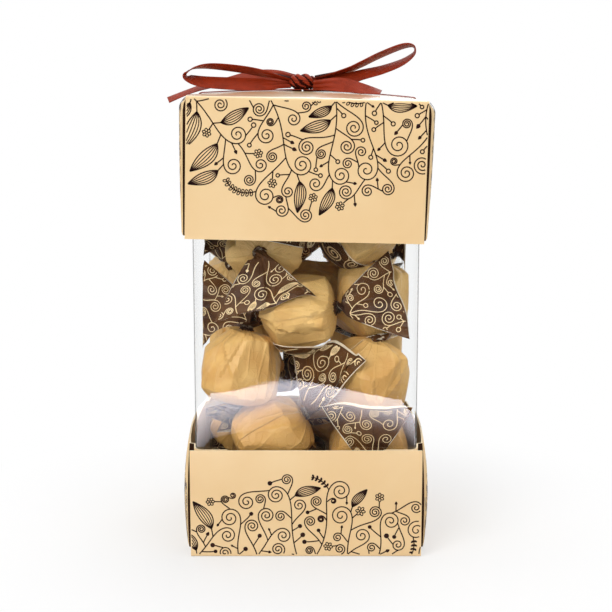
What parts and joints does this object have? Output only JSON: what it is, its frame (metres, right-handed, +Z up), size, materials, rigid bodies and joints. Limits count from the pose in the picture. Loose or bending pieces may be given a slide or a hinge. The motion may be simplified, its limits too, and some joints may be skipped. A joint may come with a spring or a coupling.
{
  "type": "box of chocolate truffles",
  "caption": "Tall gift box with a clear film sleeve between a printed card tray and a bow-tied card lid, filled with twist-wrapped chocolate truffles",
  "frame": {"origin": "centre of the flat underside of the base tray, on the surface that the box stands on", "axes": "+Z up through the lid, -Y towards the front panel that the picture shows, +X to its right"},
  "size_m": [0.1011, 0.0882, 0.1914],
  "materials": {
    "printed_card": "cream card with dark brown line ornament, satin coated",
    "clear_film": "clear glossy film",
    "satin_ribbon": "rust satin with fine cross ribs",
    "wrapper_paper": "satin coated paper, cream middle and dark brown ends with cream line ornament",
    "chocolate": "dull dark chocolate"
  },
  "bodies": {
    "base": {"base_tray": "printed_card", "wrapper_01": "wrapper_paper", "wrapper_02": "wrapper_paper", "wrapper_03": "wrapper_paper", "wrapper_04": "wrapper_paper", "wrapper_05": "wrapper_paper", "wrapper_06": "wrapper_paper", "wrapper_07": "wrapper_paper", "wrapper_08": "wrapper_paper", "wrapper_09": "wrapper_paper", "wrapper_10": "wrapper_paper", "wrapper_11": "wrapper_paper", "wrapper_12": "wrapper_paper", "wrapper_13": "wrapper_paper", "wrapper_14": "wrapper_paper", "wrapper_15": "wrapper_paper", "wrapper_16": "wrapper_paper", "wrapper_17": "wrapper_paper", "wrapper_18": "wrapper_paper", "wrapper_19": "wrapper_paper", "wrapper_20": "wrapper_paper", "truffle_01": "chocolate", "truffle_02": "chocolate", "truffle_03": "chocolate", "truffle_04": "chocolate", "truffle_05": "chocolate", "truffle_06": "chocolate", "truffle_07": "chocolate", "truffle_08": "chocolate", "truffle_09": "chocolate", "truffle_10": "chocolate", "truffle_11": "chocolate", "truffle_12": "chocolate", "truffle_13": "chocolate", "truffle_14": "chocolate", "truffle_15": "chocolate", "truffle_16": "chocolate", "truffle_17": "chocolate", "truffle_18": "chocolate", "truffle_19": "chocolate", "truffle_20": "chocolate"},
    "sleeve": {"clear_sleeve": "clear_film"},
    "lid": {"lid": "printed_card", "ribbon_strap": "satin_ribbon", "bow_knot": "satin_ribbon", "bow_loop_left": "satin_ribbon", "bow_loop_right": "satin_ribbon", "bow_tail_left": "satin_ribbon", "bow_tail_right": "satin_ribbon"}
  },
  "joints": [
    {"name": "sleeve_lift", "type": "slide", "parent": "base", "child": "sleeve", "axis": [0, 0, 1], "range_m": [0, 0.045]},
    {"name": "lid_lift", "type": "slide", "parent": "sleeve", "child": "lid", "axis": [0, 0, 1], "range_m": [0, 0.056]}
  ]
}
